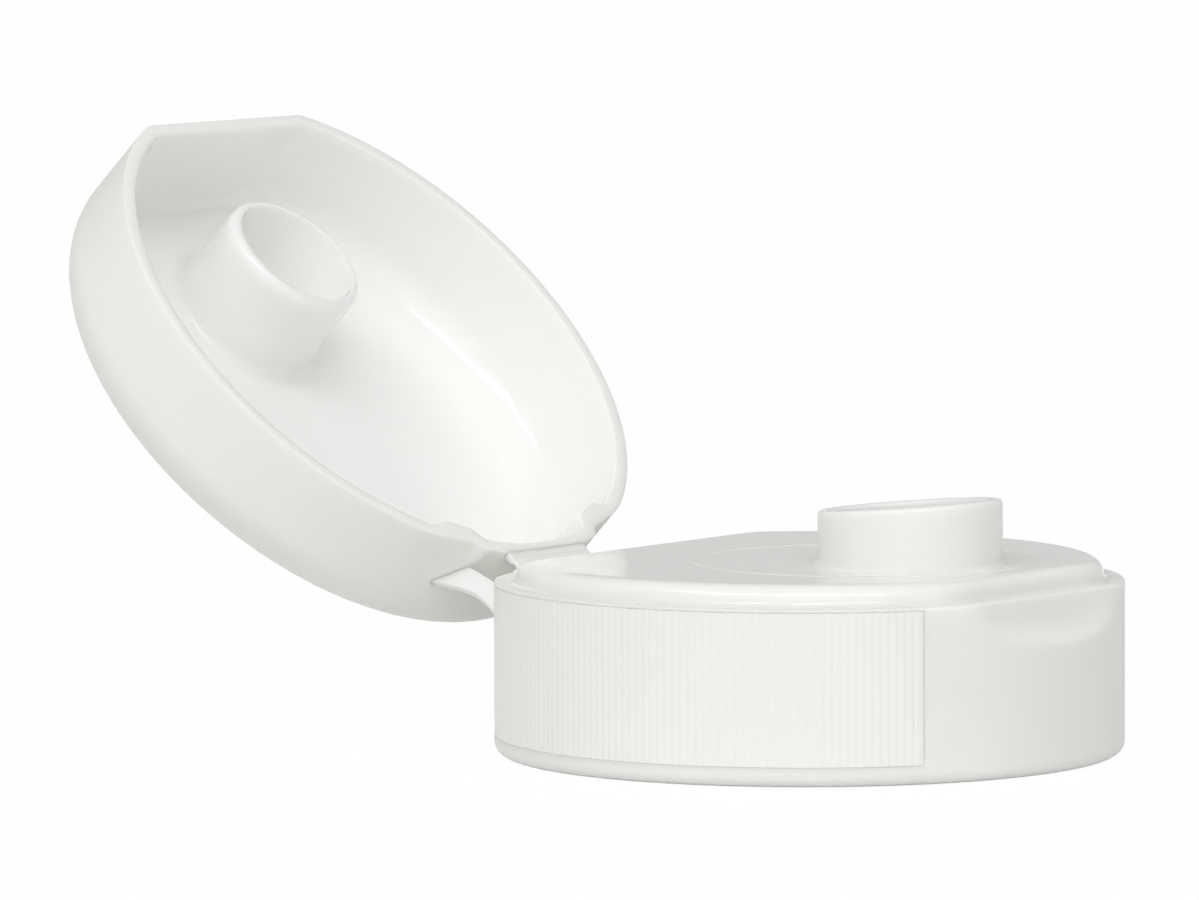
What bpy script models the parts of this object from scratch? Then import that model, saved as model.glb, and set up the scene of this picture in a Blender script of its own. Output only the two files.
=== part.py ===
"""Snap top dispensing cap in white polypropylene, standing on its skirt with the lid thrown open.

One moulding: a ribbed screw skirt with a raised deck and spout, a domed lid with a plug that closes the
spout, a centre film hinge and two thin side panels that make the lid snap. The moulding is divided only
where it flexes, so that the lid can turn.

Metres, +Z up. The origin is the centre of the skirt's lower edge, the front with its thumb scoop looks
along -Y and the hinge is at +Y. The lid is modelled in its closed place and turned about the hinge.
"""

import math

import bmesh
import bpy
from mathutils import Matrix, Vector

# Skirt
SKIRT_RADIUS = 0.0205
SKIRT_HEIGHT = 0.01135
SKIRT_WALL = 0.0016
FOOT_ROUND = 0.0009
FOOT_LEAD = 0.0003
LEDGE_ROUND = 0.0005

# Inside of the skirt, for a 38-400 bottle neck
THREAD_DEPTH = 0.00105
THREAD_PITCH = 0.00423
THREAD_TURNS = 1.5
THREAD_START = 0.0018
THREAD_CREST_WIDTH = 0.0007
THREAD_FLANK_DEG = 32.0
SEAT_DROP = 0.00135
SEAT_LAND = 0.00065
CORE_DRAFT = 0.0003
SEAT_CORNER = 0.0008
SEAL_BEAD_INSET = 0.0023
SEAL_BEAD_WIDTH = 0.0008
SEAL_BEAD_HEIGHT = 0.0005

# Fine vertical grooves round the skirt, with a smooth field at the front
GROOVE_PITCH_DEG = 1.48
GROOVE_DEPTH = 0.00016
GROOVE_FOOT = 0.0013
GROOVE_TOP_MARGIN = 0.00055
SMOOTH_FRONT_DEG = 33.7

# Thumb scoop, a cylinder that lies across the front
SCOOP_RADIUS = 0.00345
SCOOP_DEPTH = 0.0017
SCOOP_AXIS_RISE = 0.00015

# Deck
DECK_RISE = 0.00143
DECK_THICKNESS = 0.00148
DECK_EDGE_ROUND = 0.00127
DECK_REAR_CUT = 0.00485
RING_RADIUS = 0.0111
RING_FRONT_LAND = 0.0019
RING_WIDTH = 0.00036
RING_HEIGHT = 0.00012

# Spout
SPOUT_FRONT_LAND = 0.00343
SPOUT_RADIUS = 0.00597
SPOUT_WALL = 0.00072
SPOUT_RISE = 0.00382
SPOUT_SLANT_DEG = 4.3
SPOUT_LIP_ROUND = 0.0003

# Lid
LID_INSET = 0.00014
LID_HEIGHT = 0.00942
LID_WALL = 0.00095
LID_TOP_THICKNESS = 0.0011
LID_TOP_ROUND = 0.0040
LID_INNER_ROUND = 0.0030
LID_RIM_ROUND = 0.00022
LID_FLAT_DEPTH = 0.00176
LID_FLAT_WALL = 0.00085
LID_CLOSED_GAP = 0.00015
LID_SIDE_CLEARANCE = 0.00026
LID_FRONT_CLEARANCE = 0.00035

# Plug inside the lid
PLUG_CLEARANCE = 0.00035
PLUG_SHIFT = 0.0001
PLUG_ENGAGEMENT = 0.0025
PLUG_WALL = 0.00075
PLUG_ROOT_FLARE = 0.0004
PLUG_TIP_ROUND = 0.0003
PLUG_SLANT_DEG = 2.2

# Hinge
HINGE_OUT = 0.0003
HINGE_RISE = 0.00021
OPEN_DEG = 134.3
TONGUE_WIDTH = 0.0083
TONGUE_THICKNESS = 0.0005
TONGUE_SETBACK = 0.00015
RIM_STEP = 0.00005

# Side panels of the hinge and the sloping recesses that they fold into
PANEL_THICKNESS = 0.0005
PANEL_GAP = 0.00045
PANEL_INNER_DEG = 17.4
PANEL_OUTER_DEG = 22.5
PANEL_INNER_REACH = 0.00194
PANEL_OUTER_REACH = 0.0036
RECESS_OUTER_DEG = 24.5
RECESS_INNER_DEPTH = 0.0006
RECESS_OUTER_DEPTH = 0.0010
PAD_INNER_DEG = 17.5
PAD_OUTER_DEG = 36.5
PAD_THICKNESS = 0.0018
PAD_HEIGHT = 0.0042
PAD_SLOPE = 0.0008

# Facets of the round forms
SEGMENTS = 90
INNER_SEGMENTS = 60
SMALL_SEGMENTS = 40
THREAD_SEGMENTS = 36
ARC_STEPS = 4
FINE_ARC_STEPS = 2
HALF_FACET = 0.5
MARGIN = 0.001
MERGE = 1e-6
SMOOTH_BELOW = math.radians(30)

# Places that follow from the sizes
LEDGE_Z = SKIRT_HEIGHT
THREAD_ROOT_RADIUS = SKIRT_RADIUS - SKIRT_WALL
SEAT_Z = LEDGE_Z - SEAT_DROP
SEAL_BEAD_RADIUS = THREAD_ROOT_RADIUS - SEAL_BEAD_INSET
DECK_Z = LEDGE_Z + DECK_RISE
CEILING_Z = DECK_Z - DECK_THICKNESS
SPOUT_TOP_Z = DECK_Z + SPOUT_RISE
SPOUT_BORE_RADIUS = SPOUT_RADIUS - SPOUT_WALL
LID_RADIUS = SKIRT_RADIUS - LID_INSET
LID_RIM_Z = LEDGE_Z + LID_CLOSED_GAP
LID_TOP_Z = LID_RIM_Z + LID_HEIGHT
LID_CEILING_Z = LID_TOP_Z - LID_TOP_THICKNESS
LID_FLAT_Y = LID_FLAT_DEPTH - LID_RADIUS
LID_INNER_FLAT_Y = LID_FLAT_Y + LID_FLAT_WALL
LID_INNER_RADIUS = LID_RADIUS - LID_WALL
DECK_RADIUS = LID_INNER_RADIUS - LID_SIDE_CLEARANCE
DECK_FLAT_Y = LID_INNER_FLAT_Y + LID_FRONT_CLEARANCE
DECK_REAR_Y = DECK_RADIUS - DECK_REAR_CUT
RING_Y = DECK_FLAT_Y + RING_FRONT_LAND + RING_RADIUS
SPOUT_Y = DECK_FLAT_Y + SPOUT_FRONT_LAND + SPOUT_RADIUS
SEAT_INNER_RADIUS = SPOUT_BORE_RADIUS - SPOUT_Y + SEAT_LAND
PLUG_TIP_RADIUS = SPOUT_BORE_RADIUS - PLUG_CLEARANCE
PLUG_TIP_Z = SPOUT_TOP_Z - PLUG_ENGAGEMENT
HINGE = Vector((0, SKIRT_RADIUS + HINGE_OUT, LEDGE_Z + HINGE_RISE))

PLASTIC_COLOR = (0.83, 0.83, 0.80, 1)
PLASTIC_ROUGHNESS = 0.35


def clear_scene():
    """Removes whatever objects the scene holds."""
    for obj in list(bpy.data.objects):
        bpy.data.objects.remove(obj, do_unlink=True)


def collection(name):
    """A new collection in the scene."""
    made = bpy.data.collections.new(name)
    bpy.context.scene.collection.children.link(made)
    return made


def plastic(name):
    """White polypropylene with a soft sheen."""
    material = bpy.data.materials.new(name)
    material.use_nodes = True
    shader = material.node_tree.nodes["Principled BSDF"]
    shader.inputs["Base Color"].default_value = PLASTIC_COLOR
    shader.inputs["Roughness"].default_value = PLASTIC_ROUGHNESS
    shader.inputs["Metallic"].default_value = 0.0
    material.diffuse_color = PLASTIC_COLOR
    return material


def add_object(name, bm, group):
    """The bmesh as an object in a collection, shaded smooth where it is round."""
    mesh = bpy.data.meshes.new(name)
    bm.to_mesh(mesh)
    bm.free()
    mesh.shade_smooth()
    mesh.set_sharp_from_angle(angle=SMOOTH_BELOW)
    obj = bpy.data.objects.new(name, mesh)
    group.objects.link(obj)
    return obj


def arc(radius, centre_r, centre_z, start_deg, end_deg, steps=FINE_ARC_STEPS):
    """Points of an arc in the plane of a turned profile."""
    points = []
    for step in range(steps + 1):
        angle = math.radians(start_deg + (end_deg - start_deg) * step / steps)
        points.append((centre_r + radius * math.cos(angle), centre_z + radius * math.sin(angle)))
    return points


def turned(name, profile, group, segments=SEGMENTS, centre_y=0.0, ring=False, phase=HALF_FACET):
    """A profile of (radius, height) points turned about a vertical axis. A ring closes on itself.

    phase turns its facets by a share of one. A form that is set into another keeps half a facet, so that
    their edges don't meet, and only the form round it has none.
    """
    start = 2 * math.pi * phase / segments
    bm = bmesh.new()
    corners = [bm.verts.new((r * math.cos(start), r * math.sin(start), z)) for r, z in profile]
    for start, end in zip(corners, corners[1:]):
        bm.edges.new((start, end))
    if ring:
        bm.edges.new((corners[-1], corners[0]))
    obj = add_object(name, bm, group)
    obj.location.y = centre_y
    screw = obj.modifiers.new("turn", "SCREW")
    screw.steps = segments
    screw.render_steps = segments
    screw.use_merge_vertices = True
    screw.merge_threshold = MERGE
    return obj


def slanted(obj, slope_deg):
    """Makes the turned object a mesh whose heights lean down towards +Y, with its walls left upright."""
    graph = bpy.context.evaluated_depsgraph_get()
    mesh = bpy.data.meshes.new_from_object(obj.evaluated_get(graph))
    lean = Matrix.Identity(4)
    lean[2][1] = -math.tan(math.radians(slope_deg))
    mesh.transform(lean)
    obj.modifiers.clear()
    obj.data = mesh
    return obj


def box(name, low, high, group):
    """A box between two corners."""
    size = Vector(high) - Vector(low)
    middle = (Vector(high) + Vector(low)) / 2
    bm = bmesh.new()
    bmesh.ops.create_cube(bm, size=1, matrix=Matrix.Translation(middle) @ Matrix.Diagonal((*size, 1)))
    return add_object(name, bm, group)


def around(angle_deg, radius, height):
    """A point at an angle round from the rear, towards +X."""
    angle = math.radians(angle_deg)
    return Vector((radius * math.sin(angle), radius * math.cos(angle), height))


def swept(name, section, start_deg, sweep_deg, steps, group, rise=0.0):
    """A closed section of (radius, height) points swept round the vertical axis, rising as it goes."""
    bm = bmesh.new()
    face = bm.faces.new([bm.verts.new(around(start_deg, radius, height)) for radius, height in section])
    bmesh.ops.spin(
        bm,
        geom=[face, *face.edges, *face.verts],
        cent=(0, 0, 0),
        axis=(0, 0, -1),
        dvec=(0, 0, rise / steps),
        angle=math.radians(sweep_deg),
        steps=steps,
        use_duplicate=False,
    )
    bmesh.ops.recalc_face_normals(bm, faces=bm.faces)
    return add_object(name, bm, group)


def hull(name, points, group):
    """The convex solid round a few corner points."""
    bm = bmesh.new()
    for point in points:
        bm.verts.new(point)
    made = bmesh.ops.convex_hull(bm, input=bm.verts)
    bmesh.ops.delete(bm, geom=made["geom_interior"] + made["geom_unused"], context="VERTS")
    bmesh.ops.recalc_face_normals(bm, faces=bm.faces)
    return add_object(name, bm, group)


def combine(obj, other, operation):
    """Adds a Boolean to an object and makes the other object a wire helper."""
    boolean = obj.modifiers.new(f"{operation.lower()} {other.name}", "BOOLEAN")
    boolean.operation = operation
    boolean.object = other
    other.display_type = "WIRE"
    other.hide_render = True


def opened(point):
    """Where a point of the closed lid lies once the lid is open."""
    return Matrix.Rotation(math.radians(-OPEN_DEG), 3, "X") @ (point - HINGE) + HINGE


def skirt_profile():
    """The solid outer form of the skirt, up to the ledge."""
    return [
        (0, LEDGE_Z),
        *arc(LEDGE_ROUND, SKIRT_RADIUS - LEDGE_ROUND, LEDGE_Z - LEDGE_ROUND, 90, 0),
        *arc(FOOT_ROUND, SKIRT_RADIUS - FOOT_ROUND, FOOT_ROUND, 0, -90, ARC_STEPS),
        (0, 0),
    ]


def deck_profile():
    """The raised deck, reaching down into the skirt."""
    edge_z = DECK_Z - DECK_EDGE_ROUND
    edge = arc(DECK_EDGE_ROUND, DECK_RADIUS - DECK_EDGE_ROUND, edge_z, 90, 0, ARC_STEPS)
    return [(0, DECK_Z), *edge, (DECK_RADIUS, SEAT_Z - MARGIN), (0, SEAT_Z - MARGIN)]


def cavity_profile():
    """The room for the bottle neck: lead-in, bore, sealing seat with its bead, and the cored deck."""
    bead = SEAL_BEAD_WIDTH / 2
    corner = THREAD_ROOT_RADIUS - SEAT_CORNER
    return [
        (0, CEILING_Z),
        (SEAT_INNER_RADIUS - CORE_DRAFT, CEILING_Z),
        (SEAT_INNER_RADIUS, SEAT_Z),
        (SEAL_BEAD_RADIUS - bead, SEAT_Z),
        (SEAL_BEAD_RADIUS, SEAT_Z - SEAL_BEAD_HEIGHT),
        (SEAL_BEAD_RADIUS + bead, SEAT_Z),
        *arc(SEAT_CORNER, corner, SEAT_Z - SEAT_CORNER, 90, 0),
        (THREAD_ROOT_RADIUS, 2 * FOOT_LEAD),
        (THREAD_ROOT_RADIUS + FOOT_LEAD + MARGIN, -2 * MARGIN),
        (0, -2 * MARGIN),
    ]


def thread(helpers):
    """One helical ridge inside the skirt, its root sunk into the wall."""
    root = THREAD_ROOT_RADIUS + SKIRT_WALL / 4
    crest = THREAD_ROOT_RADIUS - THREAD_DEPTH
    flank = (root - crest) * math.tan(math.radians(THREAD_FLANK_DEG))
    crest_half = THREAD_CREST_WIDTH / 2
    root_half = crest_half + flank
    section = [
        (root, THREAD_START - root_half),
        (crest, THREAD_START - crest_half),
        (crest, THREAD_START + crest_half),
        (root, THREAD_START + root_half),
    ]
    steps = round(THREAD_TURNS * THREAD_SEGMENTS)
    rise = THREAD_TURNS * THREAD_PITCH
    return swept("thread_ridge", section, 0, 360 * THREAD_TURNS, steps, helpers, rise)


def spout(helpers):
    """The spout, still solid, with the outer round of its slanted lip."""
    lip = arc(SPOUT_LIP_ROUND, SPOUT_RADIUS - SPOUT_LIP_ROUND, SPOUT_TOP_Z - SPOUT_LIP_ROUND, 90, 0)
    profile = [(0, SPOUT_TOP_Z), *lip, (SPOUT_RADIUS, CEILING_Z - MARGIN), (0, CEILING_Z - MARGIN)]
    return slanted(turned("spout_wall", profile, helpers, SMALL_SEGMENTS, SPOUT_Y), SPOUT_SLANT_DEG)


def spout_bore(helpers):
    """The bore through spout and deck, with the inner round of the lip."""
    mouth = SPOUT_BORE_RADIUS + SPOUT_LIP_ROUND
    lip = arc(SPOUT_LIP_ROUND, mouth, SPOUT_TOP_Z - SPOUT_LIP_ROUND, 90, 180)
    above = SPOUT_TOP_Z + MARGIN
    profile = [(0, above), (mouth, above), *lip, (SPOUT_BORE_RADIUS, SEAT_Z - MARGIN), (0, SEAT_Z - MARGIN)]
    return slanted(turned("spout_bore", profile, helpers, SMALL_SEGMENTS, SPOUT_Y, phase=0), SPOUT_SLANT_DEG)


def deck_ring(helpers):
    """The fine raised ring round the spout."""
    half = RING_WIDTH / 2
    profile = [
        (RING_RADIUS - half / 2, DECK_Z + RING_HEIGHT),
        (RING_RADIUS + half / 2, DECK_Z + RING_HEIGHT),
        (RING_RADIUS + half, DECK_Z - RING_HEIGHT),
        (RING_RADIUS - half, DECK_Z - RING_HEIGHT),
    ]
    return turned("deck_ring", profile, helpers, SMALL_SEGMENTS, RING_Y, ring=True)


def scoop(helpers):
    """The cylinder that cuts the thumb scoop."""
    axis = Vector((0, SCOOP_DEPTH - SKIRT_RADIUS - SCOOP_RADIUS, LEDGE_Z + SCOOP_AXIS_RISE))
    bm = bmesh.new()
    bmesh.ops.create_cone(
        bm,
        cap_ends=True,
        segments=SMALL_SEGMENTS,
        radius1=SCOOP_RADIUS,
        radius2=SCOOP_RADIUS,
        depth=2 * SKIRT_RADIUS,
        matrix=Matrix.Translation(axis) @ Matrix.Rotation(math.radians(90), 4, "Y"),
    )
    return add_object("thumb_scoop", bm, helpers)


def grooves(helpers):
    """Square bars set corner first round the skirt, one for each groove."""
    field = 360 - 2 * SMOOTH_FRONT_DEG
    count = int(field / GROOVE_PITCH_DEG)
    side = 4 * GROOVE_DEPTH
    reach = SKIRT_RADIUS - GROOVE_DEPTH + side / math.sqrt(2)
    top = LEDGE_Z - GROOVE_TOP_MARGIN
    bm = bmesh.new()
    for index in range(count):
        angle = math.radians((index - (count - 1) / 2) * GROOVE_PITCH_DEG)
        place = (
            Matrix.Rotation(-angle, 4, "Z")
            @ Matrix.Translation((0, reach, (GROOVE_FOOT + top) / 2))
            @ Matrix.Rotation(math.radians(45), 4, "Z")
            @ Matrix.Diagonal((side, side, top - GROOVE_FOOT, 1))
        )
        bmesh.ops.create_cube(bm, size=1, matrix=place)
    return add_object("groove_bars", bm, helpers)


def recess_section(radius, depth, height, edge_z, down):
    """Corners of the wedge that slopes from the rim into the wall and out again at the crease."""
    slope = depth / height
    past = (radius - depth - slope * MARGIN, edge_z - down * MARGIN)
    outside = (radius + MARGIN, edge_z - down * MARGIN)
    crease = (radius + MARGIN, edge_z + down * (height + MARGIN / slope))
    return [past, outside, crease]


def recess(name, side, radius, edge_z, down, helpers):
    """The wedge that makes room for a folded hinge panel. down is 1 for the lid and -1 for the skirt."""
    shift = abs(HINGE.z - edge_z)
    lean = (RECESS_OUTER_DEG - PANEL_INNER_DEG) / (PANEL_OUTER_DEG - PANEL_INNER_DEG)
    outer_reach = PANEL_INNER_REACH + lean * (PANEL_OUTER_REACH - PANEL_INNER_REACH)
    sign = 1 if (HINGE.z - edge_z) * down > 0 else -1
    inner = recess_section(radius, RECESS_INNER_DEPTH, PANEL_INNER_REACH + sign * shift, edge_z, down)
    outer = recess_section(radius, RECESS_OUTER_DEPTH, outer_reach + sign * shift, edge_z, down)
    corners = [around(side * PANEL_INNER_DEG, *corner) for corner in inner]
    corners += [around(side * RECESS_OUTER_DEG, *corner) for corner in outer]
    return hull(name, corners, helpers)


def tongue(name, low_z, high_z, helpers):
    """Half of the centre hinge, from inside the wall out to just short of the hinge line."""
    half = TONGUE_WIDTH / 2
    inside = LID_INNER_RADIUS + LID_WALL / 4
    return box(name, (-half, inside, low_z), (half, HINGE.y - TONGUE_SETBACK, high_z), helpers)


def closure_base(parts, helpers, material):
    """The skirt, deck and spout, with everything moulded into them."""
    base = turned("closure_base", skirt_profile(), parts, phase=0)
    deck = turned("deck_disc", deck_profile(), helpers)
    reach = 2 * SKIRT_RADIUS
    front = box("deck_front", (-reach, -reach, 0), (reach, DECK_FLAT_Y, reach), helpers)
    rear = box("deck_rear", (-reach, DECK_REAR_Y, 0), (reach, reach, reach), helpers)
    combine(deck, front, "DIFFERENCE")
    combine(deck, rear, "DIFFERENCE")
    combine(base, deck, "UNION")
    combine(base, tongue("base_tongue", LEDGE_Z - TONGUE_THICKNESS, LEDGE_Z - RIM_STEP, helpers), "UNION")
    combine(base, spout(helpers), "UNION")
    combine(base, deck_ring(helpers), "UNION")
    combine(base, turned("neck_room", cavity_profile(), helpers, INNER_SEGMENTS), "DIFFERENCE")
    combine(base, thread(helpers), "UNION")
    combine(base, spout_bore(helpers), "DIFFERENCE")
    combine(base, scoop(helpers), "DIFFERENCE")
    combine(base, grooves(helpers), "DIFFERENCE")
    for side, word in ((-1, "left"), (1, "right")):
        wedge = recess(f"base_recess_{word}", side, SKIRT_RADIUS, LEDGE_Z, -1, helpers)
        combine(base, wedge, "DIFFERENCE")
    base.data.materials.append(material)
    return base


def lid_outer_profile():
    """The solid outer form of the lid in its closed place."""
    return [
        (0, LID_TOP_Z),
        *arc(LID_TOP_ROUND, LID_RADIUS - LID_TOP_ROUND, LID_TOP_Z - LID_TOP_ROUND, 90, 0, ARC_STEPS),
        *arc(LID_RIM_ROUND, LID_RADIUS - LID_RIM_ROUND, LID_RIM_Z + LID_RIM_ROUND, 0, -90),
        (0, LID_RIM_Z),
    ]


def lid_inner_profile():
    """The hollow of the lid."""
    corner_z = LID_CEILING_Z - LID_INNER_ROUND
    return [
        (0, LID_CEILING_Z),
        *arc(LID_INNER_ROUND, LID_INNER_RADIUS - LID_INNER_ROUND, corner_z, 90, 0, ARC_STEPS),
        (LID_INNER_RADIUS, LID_RIM_Z - MARGIN),
        (0, LID_RIM_Z - MARGIN),
    ]


def plug(helpers):
    """The tube that closes the spout, with a rounded, slanted tip."""
    tip = PLUG_TIP_Z + PLUG_TIP_ROUND
    inner = PLUG_TIP_RADIUS - PLUG_WALL
    root_z = LID_CEILING_Z + LID_TOP_THICKNESS / 2
    profile = [
        (inner, root_z),
        (PLUG_TIP_RADIUS + PLUG_ROOT_FLARE, root_z),
        *arc(PLUG_TIP_ROUND, PLUG_TIP_RADIUS - PLUG_TIP_ROUND, tip, 0, -90),
        *arc(PLUG_TIP_ROUND, inner + PLUG_TIP_ROUND, tip, -90, -180),
    ]
    made = turned("plug_tube", profile, helpers, SMALL_SEGMENTS, SPOUT_Y - PLUG_SHIFT, ring=True)
    return slanted(made, PLUG_SLANT_DEG)


def pad(side, word, helpers):
    """The thicker stretch of the lid's rim beside the hinge."""
    inner = LID_RADIUS - PAD_THICKNESS
    outer = LID_INNER_RADIUS + LID_WALL / 2
    top = LID_RIM_Z + PAD_HEIGHT
    bottom = LID_RIM_Z + RIM_STEP
    section = [(outer, bottom), (inner, bottom), (inner, top), (outer, top + PAD_SLOPE)]
    start = PAD_INNER_DEG if side > 0 else -PAD_OUTER_DEG
    sweep = PAD_OUTER_DEG - PAD_INNER_DEG
    return swept(f"rim_pad_{word}", section, start, sweep, ARC_STEPS, helpers)


def lid(parts, helpers, material):
    """The lid in its closed place, with every helper that shapes it."""
    made = turned("lid", lid_outer_profile(), parts, phase=0)
    hollow = turned("lid_hollow", lid_inner_profile(), helpers)
    reach = 2 * SKIRT_RADIUS
    outer_flat = box("lid_front", (-reach, -reach, 0), (reach, LID_FLAT_Y, reach), helpers)
    inner_flat = box("hollow_front", (-reach, -reach, 0), (reach, LID_INNER_FLAT_Y, reach), helpers)
    combine(hollow, inner_flat, "DIFFERENCE")
    combine(made, outer_flat, "DIFFERENCE")
    combine(made, hollow, "DIFFERENCE")
    shapers = [outer_flat, inner_flat, hollow]
    lip = tongue("lid_tongue", LID_RIM_Z + RIM_STEP, LID_RIM_Z + TONGUE_THICKNESS, helpers)
    additions = [plug(helpers), lip]
    for side, word in ((-1, "left"), (1, "right")):
        additions.append(pad(side, word, helpers))
    for addition in additions:
        combine(made, addition, "UNION")
    wedges = []
    for side, word in ((-1, "left"), (1, "right")):
        wedges.append(recess(f"lid_recess_{word}", side, LID_RADIUS, LID_RIM_Z, 1, helpers))
    for wedge in wedges:
        combine(made, wedge, "DIFFERENCE")
    made.data.materials.append(material)
    return [made, *shapers, *additions, *wedges]


def hinge_panel(side, word, parts, material):
    """A thin flat panel between the crease on the skirt and the crease on the open lid."""
    base_ends = [
        around(side * PANEL_INNER_DEG, SKIRT_RADIUS, HINGE.z - PANEL_INNER_REACH),
        around(side * PANEL_OUTER_DEG, SKIRT_RADIUS, HINGE.z - PANEL_OUTER_REACH),
    ]
    lid_ends = [
        opened(around(side * PANEL_INNER_DEG, LID_RADIUS, HINGE.z + PANEL_INNER_REACH)),
        opened(around(side * PANEL_OUTER_DEG, LID_RADIUS, HINGE.z + PANEL_OUTER_REACH)),
    ]
    middle = []
    for base_end, lid_end in zip(base_ends, lid_ends):
        along = (lid_end - base_end).normalized() * PANEL_GAP
        middle += [base_end + along, lid_end - along]
    normal = (middle[1] - middle[0]).cross(middle[2] - middle[0]).normalized() * PANEL_THICKNESS / 2
    corners = [point + normal for point in middle] + [point - normal for point in middle]
    made = hull(f"hinge_panel_{word}", corners, parts)
    made.data.materials.append(material)
    return made


def main():
    """Builds the cap with its lid open."""
    clear_scene()
    parts = collection("snap_top_cap")
    helpers = collection("cutters")
    material = plastic("white_polypropylene")
    closure_base(parts, helpers, material)
    pivot = bpy.data.objects.new("hinge_axis", None)
    pivot.location = HINGE
    parts.objects.link(pivot)
    for obj in lid(parts, helpers, material):
        obj.parent = pivot
        obj.matrix_parent_inverse = Matrix.Translation(-HINGE)
    pivot.rotation_euler.x = math.radians(-OPEN_DEG)
    for side, word in ((-1, "left"), (1, "right")):
        hinge_panel(side, word, parts, material)


main()
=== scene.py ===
"""Snap top dispensing cap in white polypropylene, open on its living hinge, dressed for the render.

Lengths in the classes are millimetres in the frame of the CAD model, and a mesh is written in metres. The
origin is the centre of the skirt's lower edge, +Z is up, the thumb scoop looks along -Y and the hinge is at
+Y. Angles round the cap are counted from the rear, towards +X. The lid is shaped in its closed place and
then turned open about the hinge.
"""

import logging
import math
from collections.abc import Callable, Sequence
from dataclasses import dataclass, field, replace
from enum import Enum

import bmesh
import bpy
import numpy as np
from mathutils import Matrix, Vector


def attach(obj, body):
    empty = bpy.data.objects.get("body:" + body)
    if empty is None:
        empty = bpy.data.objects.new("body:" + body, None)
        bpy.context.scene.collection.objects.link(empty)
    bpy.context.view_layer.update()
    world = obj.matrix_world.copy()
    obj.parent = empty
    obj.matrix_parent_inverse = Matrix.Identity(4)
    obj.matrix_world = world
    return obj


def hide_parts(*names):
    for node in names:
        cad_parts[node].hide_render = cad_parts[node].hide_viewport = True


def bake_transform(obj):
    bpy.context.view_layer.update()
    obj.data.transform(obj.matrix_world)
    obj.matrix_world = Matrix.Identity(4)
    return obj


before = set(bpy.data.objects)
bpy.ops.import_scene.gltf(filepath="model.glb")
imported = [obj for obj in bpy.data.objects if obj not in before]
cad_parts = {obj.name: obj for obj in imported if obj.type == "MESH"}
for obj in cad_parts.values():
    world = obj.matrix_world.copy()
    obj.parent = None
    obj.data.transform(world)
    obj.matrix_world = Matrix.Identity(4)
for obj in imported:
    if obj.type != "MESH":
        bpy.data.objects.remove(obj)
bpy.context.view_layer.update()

LOG = logging.getLogger("snap_top_cap")
MM = 0.001
FAR = 1e3

Place = tuple[float | np.ndarray, float | np.ndarray]
Term = bpy.types.NodeSocket | bpy.types.ID | float | Sequence[float]


class Surface(Enum):
    """The finishes that the mould leaves on the two mouldings, and a paler copy of the plastic with painted
    light for the hollows.
    """

    SATIN = 0
    POLISHED = 1
    # Painted light: a paler, warmer copy of the plastic for the lid's hollow, the plug and the spout's bore
    PAINTED_LIGHT = 2


class Side(Enum):
    """The two sides of the hinge, as the sign of X."""

    LEFT = -1
    RIGHT = 1

    @property
    def word(self) -> str:
        """The side in lower case, for names."""
        return self.name.lower()


# Shapes

# Angles from the rear, in degrees, where a loop has points
ALL_ROUND = np.arange(0, 180.1, 0.75)
BESIDE_HINGE = np.arange(11, 31, 0.25)
FRONT_CORNERS = np.arange(150, 162, 0.375)
RIB_FIELD_END = np.array([146.15, 146.45])
LEAST_STEP_DEG = 0.06
# A straight wall stands only where it faces an angle with more than this cosine
LEAST_FACING = 0.2


def half_turn_angles() -> np.ndarray:
    """Angles from the rear to the front, finer at the hinge, at the rib field's end and at the front corners.

    Returns:
        The angles in degrees, in rising order and never closer than the least step.
    """
    angles = np.concatenate([ALL_ROUND, BESIDE_HINGE, FRONT_CORNERS, RIB_FIELD_END])
    angles = np.unique(np.round(angles, 3))
    return angles[np.concatenate([[True], np.diff(angles) > LEAST_STEP_DEG])]


HALF = half_turn_angles()
THETA = np.radians(np.concatenate([-HALF[-2:0:-1], HALF]))
ASIDE = np.degrees(np.abs(THETA))
SIN = np.sin(THETA)
COS = np.cos(THETA)


def smooth_step(value: np.ndarray, low: float, high: float) -> np.ndarray:
    """A soft ramp from 0 at low to 1 at high.

    Args:
        value: Where the ramp is read.
        low: Where it starts.
        high: Where it ends. It may lie below low, for a ramp that falls.

    Returns:
        The ramp at each value.
    """
    share = np.clip((value - low) / (high - low), 0, 1)
    return share * share * (3 - 2 * share)


def smooth_min(first: np.ndarray, second: np.ndarray, width: float) -> np.ndarray:
    """The lesser of two radii, rounded where they cross.

    Args:
        first: One radius for each angle.
        second: The other radius for each angle.
        width: How far apart they still blend.

    Returns:
        The blended radius for each angle.
    """
    near = np.clip((width - np.abs(first - second)) / width, 0, 1)
    return np.minimum(first, second) - near * near * width / 4


def quarter_round(start: Place, end: Place, steps: int, upright: bool = False) -> list[Place]:
    """Places along a quarter of a circle or of an ellipse.

    Args:
        start: Radius and height where it starts.
        end: Radius and height where it ends.
        steps: Number of steps, so steps + 1 places come back.
        upright: True where it leaves the start along the height, False where along the radius.

    Returns:
        Pairs of radius and height, from start to end.
    """
    places = []
    for step in range(steps + 1):
        turn = math.pi / 2 * step / steps
        early, late = math.sin(turn), 1 - math.cos(turn)
        across, along = (late, early) if upright else (early, late)
        places.append((start[0] + (end[0] - start[0]) * across, start[1] + (end[1] - start[1]) * along))
    return places


def ring(radius: np.ndarray | float, height: np.ndarray | float, centre_y: float = 0.0) -> np.ndarray:
    """One closed loop of the moulding.

    Args:
        radius: Distance from the loop's centre, one for all angles or one for each.
        height: Height above the floor, one for all angles or one for each.
        centre_y: Place of the loop's centre along Y.

    Returns:
        The loop's points, one row for each angle.
    """
    points = np.empty((len(THETA), 3))
    points[:, 0] = radius * SIN
    points[:, 1] = radius * COS + centre_y
    points[:, 2] = height
    return points


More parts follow.
